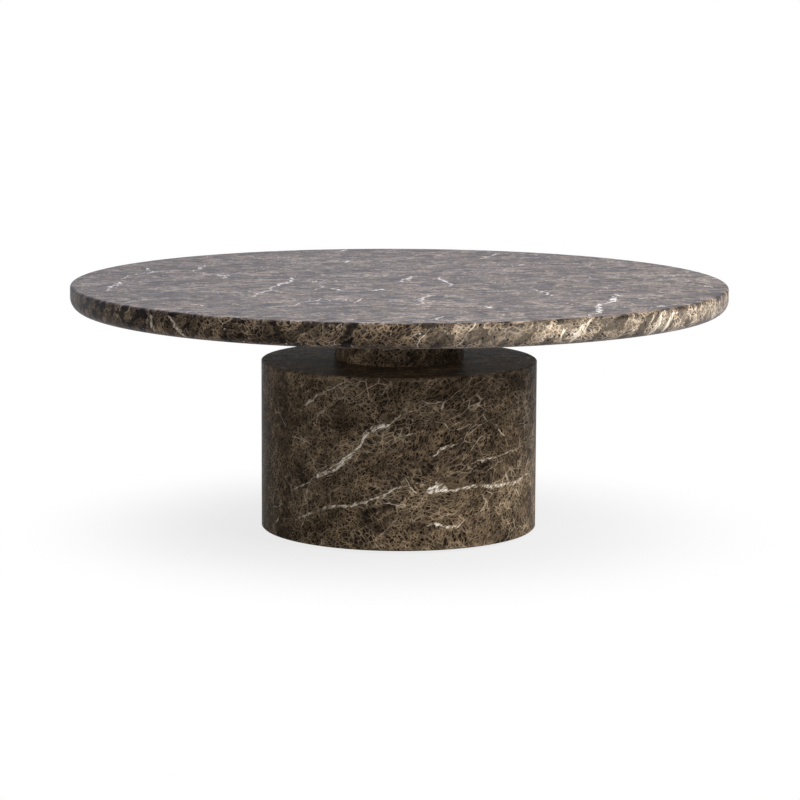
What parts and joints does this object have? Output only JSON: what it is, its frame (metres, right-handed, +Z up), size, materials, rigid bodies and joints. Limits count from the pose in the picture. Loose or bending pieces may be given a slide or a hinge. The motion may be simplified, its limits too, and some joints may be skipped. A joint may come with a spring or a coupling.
{
  "type": "round cocktail table",
  "caption": "Low round table of dark brown veined marble: thick round-edged top on a narrow recessed neck and a wide plain drum, on hidden levelling feet.",
  "frame": {"origin": "on the floor, on the vertical axis of the drum", "axes": "+Z up along the axis of the drum, +X to the right and -Y towards the viewer of the picture"},
  "size_m": [1.0669, 1.067, 0.406],
  "materials": {
    "emperador_marble": "honed dark brown marble with pale veins",
    "birch_plywood": "sanded, unsealed",
    "black_steel": "matt powder coat",
    "zinc_steel": "zinc plated",
    "brass": "turned",
    "cork_rubber": "cork granules in rubber",
    "nylon": "moulded, black"
  },
  "bodies": {
    "table": {"top_slab": "emperador_marble", "neck_ring": "emperador_marble", "drum_cap": "emperador_marble", "drum_shell": "emperador_marble", "upper_bulkhead": "birch_plywood", "lower_ring": "birch_plywood", "carcass_rib_1": "birch_plywood", "carcass_rib_2": "birch_plywood", "carcass_rib_3": "birch_plywood", "carcass_rib_4": "birch_plywood", "anchor_plate": "black_steel", "core_tube": "black_steel", "clamp_plate": "black_steel", "top_inserts": "brass", "upper_gasket": "cork_rubber", "lower_gasket": "cork_rubber", "anchor_screws": "zinc_steel", "tie_rods": "zinc_steel", "clamp_washers": "zinc_steel", "clamp_nuts": "zinc_steel", "bulkhead_screws": "zinc_steel", "ring_screws": "zinc_steel", "foot_nuts": "zinc_steel"},
    "foot_1": {"foot_pad_1": "nylon"},
    "foot_screw_1": {"foot_stem_1": "zinc_steel"},
    "foot_2": {"foot_pad_2": "nylon"},
    "foot_screw_2": {"foot_stem_2": "zinc_steel"},
    "foot_3": {"foot_pad_3": "nylon"},
    "foot_screw_3": {"foot_stem_3": "zinc_steel"},
    "foot_4": {"foot_pad_4": "nylon"},
    "foot_screw_4": {"foot_stem_4": "zinc_steel"}
  },
  "joints": [
    {"name": "foot_1_travel", "type": "slide", "parent": "table", "child": "foot_1", "axis": [0, 0, -1], "range_m": [0, 0.012]},
    {"name": "foot_1_turn", "type": "hinge", "parent": "foot_1", "child": "foot_screw_1", "pos_m": [0.12, 0.12, 0.02], "axis": [0, 0, -1], "range_deg": [0, 2880]},
    {"name": "foot_2_travel", "type": "slide", "parent": "table", "child": "foot_2", "axis": [0, 0, -1], "range_m": [0, 0.012]},
    {"name": "foot_2_turn", "type": "hinge", "parent": "foot_2", "child": "foot_screw_2", "pos_m": [-0.12, 0.12, 0.02], "axis": [0, 0, -1], "range_deg": [0, 2880]},
    {"name": "foot_3_travel", "type": "slide", "parent": "table", "child": "foot_3", "axis": [0, 0, -1], "range_m": [0, 0.012]},
    {"name": "foot_3_turn", "type": "hinge", "parent": "foot_3", "child": "foot_screw_3", "pos_m": [-0.12, -0.12, 0.02], "axis": [0, 0, -1], "range_deg": [0, 2880]},
    {"name": "foot_4_travel", "type": "slide", "parent": "table", "child": "foot_4", "axis": [0, 0, -1], "range_m": [0, 0.012]},
    {"name": "foot_4_turn", "type": "hinge", "parent": "foot_4", "child": "foot_screw_4", "pos_m": [0.12, -0.12, 0.02], "axis": [0, 0, -1], "range_deg": [0, 2880]}
  ],
  "couplings": [
    {"joint": "foot_1_turn", "follows": "foot_1_travel", "rad_per_m": 4188.8},
    {"joint": "foot_2_turn", "follows": "foot_2_travel", "rad_per_m": 4188.8},
    {"joint": "foot_3_turn", "follows": "foot_3_travel", "rad_per_m": 4188.8},
    {"joint": "foot_4_turn", "follows": "foot_4_travel", "rad_per_m": 4188.8}
  ]
}
